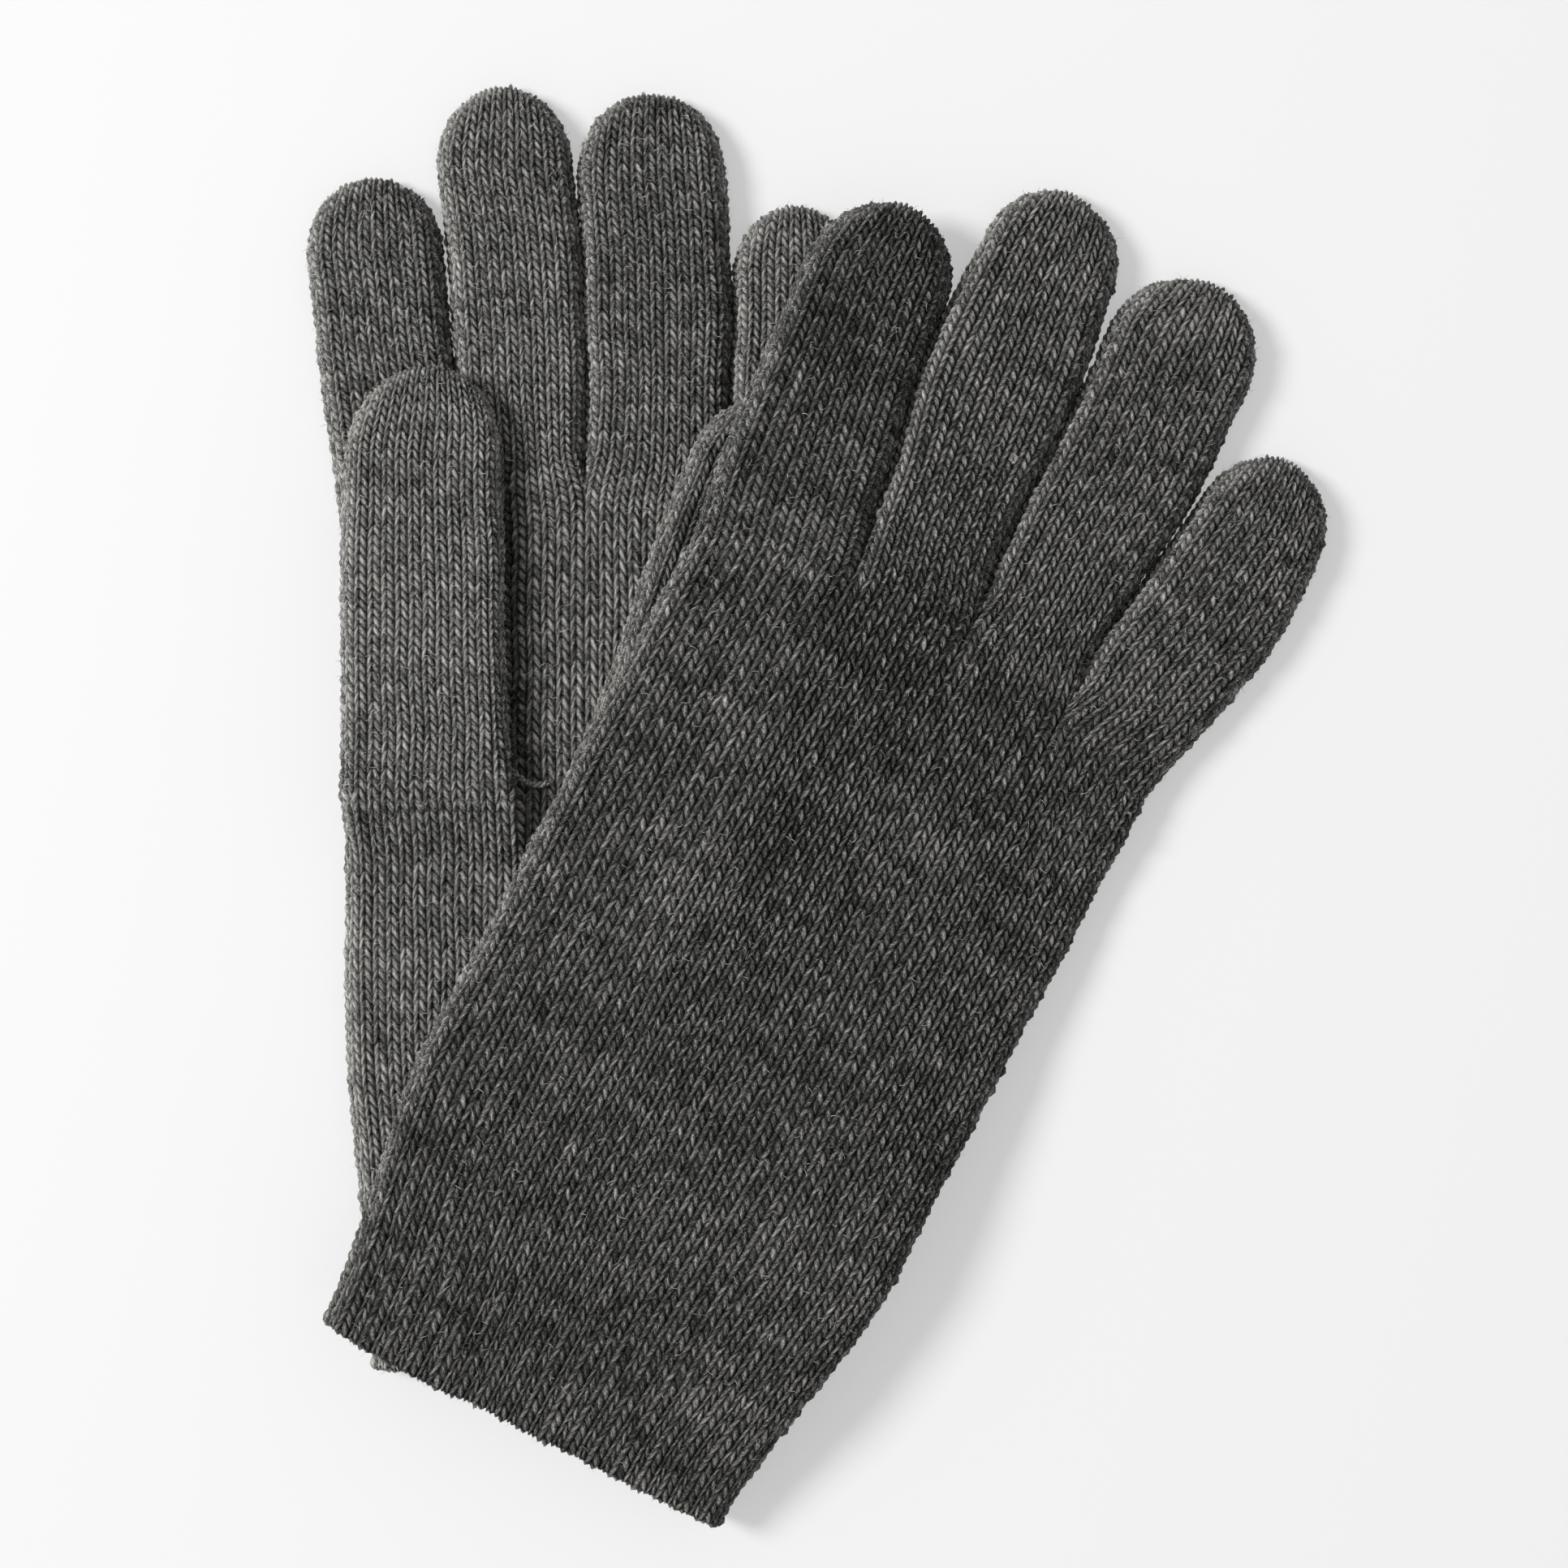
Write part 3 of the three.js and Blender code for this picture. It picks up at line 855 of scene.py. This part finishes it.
def hand_pieces(glove):
    """The cuff, the palm up to the thumb and the palm above it."""
    side, wales, seed = glove["side"], glove["wales"], glove["seed"]
    palm_length = glove["thumb_root"] - CUFF_TOP
    upper_length = float(np.mean([v for _, v in glove["forks"]])) - glove["thumb_root"]
    cuff = tube(wales, -HEM_IN, CUFF_TOP, CUFF_COURSE, ribbed=True)
    palm = tube(wales, -2 * PALM_COURSE, palm_length, PALM_COURSE)
    upper = tube(wales, -2 * PALM_COURSE, upper_length, PALM_COURSE)
    parts = [
        ("cuff", cuff, cuff_surface(glove), flat, ["cuff_hem", "cuff"], "cuff_wool"),
        ("palm", palm, lower_palm_surface(glove), around_thumb, ["palm"], "wool"),
        ("upper_palm", upper, upper_palm_surface(glove, upper_length), finger_layer(glove),
         ["palm_below_fingers"], "wool"),
    ]
    for k, (name, size, surface, layer, replaced, slot) in enumerate(parts):
        grid = knit(glove, size, surface, layer, seed + 10 * k)
        nodes = [f"{side}_{n}" for n in replaced]
        obj = knitted_piece(f"{side}_{name}_knit", grid, seed + 10 * k, glove["tone_and_painted_light"], nodes)
        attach(obj, f"{side}_glove")


def finger_pieces(glove):
    """Each finger is one run of knitting over its joint. Where its tip is a body of its own,
    the knit is baked in place and attached to no body; otherwise it rides on its glove.
    """
    side = glove["side"]
    for k, (name, finger) in enumerate(glove["fingers"].items()):
        first, last = glove["joins"][k:k + 2]
        surface, wales, length = finger_surface(glove, finger, first, last - first)
        size = tube(wales, -2 * FINGER_COURSE, length, FINGER_COURSE, finger["tone_and_painted_light"], True, SAG)
        seed = glove["seed"] + 100 + 10 * k
        grid = knit(glove, size, surface, finger_layer(glove), seed)
        bends = f"{side}_{name}_tip" in frame["bodies"]
        nodes = [f"{side}_{name}_finger"] + [f"{side}_{name}_fingertip"] * bends
        obj = knitted_piece(f"{side}_{name}_knit", grid, seed, glove["tone_and_painted_light"], nodes)
        if bends:
            bend_with(obj)
        else:
            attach(obj, f"{side}_glove")


def thumb_piece(glove):
    """The left thumb is baked in place and attached to no body; the right one is held under its
    palm.
    """
    side, thumb = glove["side"], glove["thumb"]
    surface, wales, length = finger_surface(glove, thumb, 0, thumb["join"])
    seed = glove["seed"] + 200
    size = tube(wales, -2 * FINGER_COURSE, length, FINGER_COURSE, thumb["tone_and_painted_light"], True)
    grid = knit(glove, size, surface, thumb_layer, seed)
    obj = knitted_piece(f"{side}_thumb_knit", grid, seed, glove["tone_and_painted_light"], [f"{side}_thumb"])
    if glove is LEFT:
        bend_with(obj)
    else:
        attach(obj, "right_glove")


def bend_with(obj):
    """Bakes the object's place into its points; it is attached to no body."""
    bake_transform(obj)


# ---------------------------------------------------------------- loose yarn

YARN_SIDES = 6       # sides of a ply's section
YARN_TWIST = 0.45    # radians the plies turn about each other between two points


def ply(path, side, lift, radius, start):
    """Points and faces of one ply, which winds round the path and tapers at its ends."""
    steps = len(path)
    ring = np.linspace(0, 2 * math.pi, YARN_SIDES + 1)[:-1]
    turn = np.linspace(0, steps * YARN_TWIST, steps) + start
    from_end = np.minimum(np.arange(steps), np.arange(steps)[::-1])
    taper = np.clip(from_end / 3, 0.25, 1)
    centre = path + radius * (side * np.cos(turn)[:, None] + lift * np.sin(turn)[:, None])
    points, faces = [], []
    for k in range(steps):
        r = radius * 1.1 * taper[k]
        points += [centre[k] + r * (side[k] * math.cos(a) + lift[k] * math.sin(a)) for a in ring]
    for k in range(steps - 1):
        for m in range(YARN_SIDES):
            a = YARN_SIDES * k + m
            b = YARN_SIDES * k + (m + 1) % YARN_SIDES
            faces.append((a, b, b + YARN_SIDES, a + YARN_SIDES))
    faces.append(tuple(reversed(range(YARN_SIDES))))
    faces.append(tuple(YARN_SIDES * (steps - 1) + m for m in range(YARN_SIDES)))
    return points, faces


def twisted_yarn(name, path, radius, node):
    """Two plies wound round each other along a path of points, in metres."""
    tangent = np.gradient(path, axis=0)
    tangent /= np.linalg.norm(tangent, axis=1, keepdims=True)
    nearly_up = (0.02, 0.03, 1.0)
    side = np.cross(tangent, nearly_up)
    side /= np.linalg.norm(side, axis=1, keepdims=True)
    lift = np.cross(side, tangent)
    points, faces = [], []
    for start in (0, math.pi):
        ply_points, ply_faces = ply(path, side, lift, radius, start)
        faces += [tuple(len(points) + m for m in face) for face in ply_faces]
        points += ply_points
    mesh = bpy.data.meshes.new(name)
    mesh.from_pydata([tuple(p) for p in points], [], faces)
    mesh.shade_smooth()
    mesh.materials.append(YARN)
    obj = link_object(name, mesh)
    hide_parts(node)
    return obj


def yarn_tail():
    """A loose end at the fork of the left thumb, lying on the palm in a bow."""
    low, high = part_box("left_thumb_yarn_tail")
    t = np.linspace(0, 1, 44)
    x = low.x - 1.0 * MM + (high.x - low.x) * t
    y = high.y - 1.5 * MM - (high.y - low.y) * np.sin(t * 2.2) * 0.9
    z = low.z + 0.5 * MM + 0.6 * MM * np.sin(t * math.pi)
    path = np.stack([x, y, z], -1)
    obj = twisted_yarn("left_yarn_tail", path, 0.3 * MM, "left_thumb_yarn_tail")
    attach(obj, "left_glove")


def yarn_knot():
    """Two yarns tied together: one small turn, nearly sunk in the cloth."""
    low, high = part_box("right_middle_finger_knot")
    middle = (low + high) / 2
    t = np.linspace(0, 1, 36)
    angle = 2 * math.pi * 1.3 * t
    x = middle.x + 0.5 * MM * np.cos(angle)
    y = middle.y + 0.6 * MM * np.sin(angle)
    z = low.z - 0.1 * MM + 0.4 * MM * t
    path = np.stack([x, y, z], -1)
    obj = twisted_yarn("right_yarn_knot", path, 0.2 * MM, "right_middle_finger_knot")
    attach(obj, "right_middle_tip")


def elastic_threads():
    """The part's own elastic threads, inside the cuffs, get their material."""
    for side in ("left", "right"):
        materials = bpy.data.objects[f"{side}_cuff_elastic"].data.materials
        materials.clear()
        materials.append(ELASTIC)


# ---------------------------------------------------------------- set


def floor():
    """A white table that gives off a little light itself, so that shadows stay pale."""
    bpy.ops.mesh.primitive_plane_add(size=8, location=(0, 0, -0.2 * MM))
    plane = bpy.context.object
    plane.name = "floor"
    nodes = Nodes("white_table")
    nodes.constant(Base_Color=(0.46, 0.46, 0.464, 1), Roughness=0.6)
    nodes.constant(Emission_Color=(1, 1, 1, 1), Emission_Strength=0.4)
    plane.data.materials.append(nodes.material)


def area_light(name, place, size, power):
    """A round soft light that points at the middle of the table."""
    data = bpy.data.lights.new(name, "AREA")
    data.shape = "DISK"
    data.size = size
    data.energy = power
    light = link_object(name, data)
    light.location = place
    light.rotation_euler = Vector(place).to_track_quat("Z", "Y").to_euler()


def lights():
    """Light from a window on the left, in a pale room."""
    area_light("window", place=(-1.85, 0.5, 1.95), size=0.9, power=66)
    world = bpy.data.worlds.new("studio")
    world.use_nodes = True
    background = world.node_tree.nodes["Background"]
    background.inputs["Color"].default_value = (1, 1, 1, 1)
    background.inputs["Strength"].default_value = 0.47
    bpy.context.scene.world = world


def camera():
    """Straight above, with the pair a little right of and below the picture's middle."""
    data = bpy.data.cameras.new("camera")
    data.sensor_width = 36
    data.lens = 90
    width_seen = 0.2898
    at_height = 0.012
    distance = width_seen * data.lens / data.sensor_width
    view = link_object("camera", data)
    view.location = (-0.0062, 0.0035, at_height + distance)
    bpy.context.scene.camera = view


for glove in (LEFT, RIGHT):
    hand_pieces(glove)
    finger_pieces(glove)
    thumb_piece(glove)
yarn_tail()
yarn_knot()
elastic_threads()
floor()
lights()
camera()
bpy.context.scene.view_settings.view_transform = "Standard"
